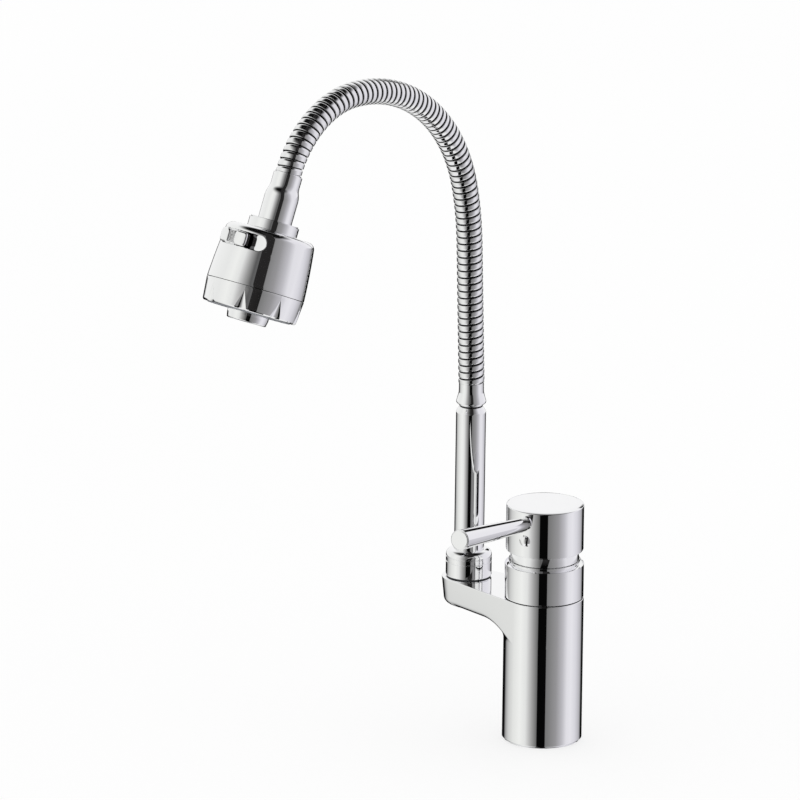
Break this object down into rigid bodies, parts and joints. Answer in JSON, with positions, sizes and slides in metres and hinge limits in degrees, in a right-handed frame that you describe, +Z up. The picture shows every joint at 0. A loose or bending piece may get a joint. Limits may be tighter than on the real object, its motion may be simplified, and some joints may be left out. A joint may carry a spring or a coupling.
{
  "type": "gooseneck bar faucet",
  "caption": "Deck-mounted mixer tap with a side arm, an upright riser, a flexible ribbed gooseneck hose and a two-mode spray head, worked by one lever.",
  "frame": {"origin": "centre of the foot of the body, at the deck's surface, at the mouth of the round recess in the foot", "axes": "+Z up along the body's axis; the side arm runs along -X; the spout and the lever point to -Y, towards the user"},
  "size_m": [0.1103, 0.2394, 0.4032],
  "materials": {
    "chrome": "polished chrome plate",
    "brass": "machined",
    "stainless_steel": "machined",
    "cartridge_plastic": "moulded",
    "ceramic": "lapped alumina",
    "seal_rubber": "moulded rubber",
    "washer_plastic": "moulded",
    "spray_face": "moulded",
    "nozzle_rubber": "soft moulded rubber"
  },
  "bodies": {
    "body": {"body_casting": "chrome", "base_gasket": "seal_rubber", "swivel_washer": "washer_plastic", "snap_ring": "stainless_steel", "cartridge_base": "cartridge_plastic", "cartridge_seal_left": "seal_rubber", "cartridge_seal_right": "seal_rubber", "fixed_ceramic_disc": "ceramic", "cartridge_housing": "cartridge_plastic", "cartridge_nut": "brass", "bonnet": "chrome"},
    "turret": {"cartridge_turret": "cartridge_plastic", "pivot_pin": "stainless_steel"},
    "disc": {"moving_ceramic_disc": "ceramic", "disc_carrier": "cartridge_plastic"},
    "handle": {"cartridge_stem": "brass", "handle_cap": "chrome", "lever_rod": "chrome", "handle_set_screw": "stainless_steel", "index_cap": "chrome"},
    "spout": {"swivel_collar": "chrome", "spigot_o_ring": "seal_rubber", "riser_tube": "chrome", "lower_nipple": "brass", "nipple_o_ring": "seal_rubber", "lower_ferrule": "chrome", "gooseneck_1": "chrome", "inner_hose": "seal_rubber"},
    "neck_2": {"gooseneck_2": "chrome"},
    "neck_3": {"gooseneck_3": "chrome"},
    "neck_4": {"gooseneck_4": "chrome"},
    "neck_5": {"gooseneck_5": "chrome", "upper_ferrule": "chrome", "upper_nipple": "brass", "head_o_ring": "seal_rubber"},
    "head": {"head_nut": "chrome", "head_shell": "chrome", "valve_seat": "cartridge_plastic", "notched_ring": "chrome", "spray_plate": "spray_face", "spray_nozzles": "nozzle_rubber", "outlet_ring": "chrome", "aerator_washer": "seal_rubber", "aerator": "spray_face"},
    "selector": {"selector_button": "chrome", "selector_sleeve": "cartridge_plastic", "sleeve_o_ring_upper": "seal_rubber", "sleeve_o_ring_lower": "seal_rubber"}
  },
  "joints": [
    {"name": "handle_turn", "type": "hinge", "parent": "body", "child": "turret", "pos_m": [0, 0, 0.1074], "axis": [0, 0, 1], "range_deg": [-55, 35]},
    {"name": "handle_lift", "type": "hinge", "parent": "turret", "child": "handle", "pos_m": [0, 0, 0.1074], "axis": [-0.9839, -0.1788, 0], "range_deg": [0, 16]},
    {"name": "disc_slide", "type": "slide", "parent": "turret", "child": "disc", "axis": [0.1788, -0.9839, 0], "range_m": [0, 0.004]},
    {"name": "spout_swivel", "type": "hinge", "parent": "body", "child": "spout", "pos_m": [-0.0585, 0, 0.0854], "axis": [0, 0, 1], "continuous": true},
    {"name": "neck_bend_1", "type": "hinge", "parent": "spout", "child": "neck_2", "pos_m": [-0.0585, -0.00276, 0.26762], "axis": [1, 0, 0], "range_deg": [-8, 8], "deforming": ["inner_hose"]},
    {"name": "neck_bend_2", "type": "hinge", "parent": "neck_2", "child": "neck_3", "pos_m": [-0.0585, -0.01197, 0.33223], "axis": [1, 0, 0], "range_deg": [-8, 8]},
    {"name": "neck_bend_3", "type": "hinge", "parent": "neck_3", "child": "neck_4", "pos_m": [-0.0585, -0.05019, 0.37909], "axis": [1, 0, 0], "range_deg": [-8, 8]},
    {"name": "neck_bend_4", "type": "hinge", "parent": "neck_4", "child": "neck_5", "pos_m": [-0.0585, -0.10852, 0.39521], "axis": [1, 0, 0], "range_deg": [-8, 8]},
    {"name": "head_swivel", "type": "hinge", "parent": "neck_5", "child": "head", "pos_m": [-0.0585, -0.15914, 0.35966], "axis": [0, 0.3907, 0.9205], "continuous": true},
    {"name": "selector_slide", "type": "hinge", "parent": "head", "child": "selector", "pos_m": [-0.0585, -0.15914, 0.35966], "axis": [0, 0.3907, 0.9205], "range_deg": [-7.5, 20.5]}
  ],
  "couplings": [
    {"joint": "disc_slide", "follows": "handle_lift", "m_per_rad": 0.0142},
    {"joint": "neck_bend_2", "follows": "neck_bend_1", "ratio": 1},
    {"joint": "neck_bend_3", "follows": "neck_bend_1", "ratio": 1},
    {"joint": "neck_bend_4", "follows": "neck_bend_1", "ratio": 1}
  ]
}
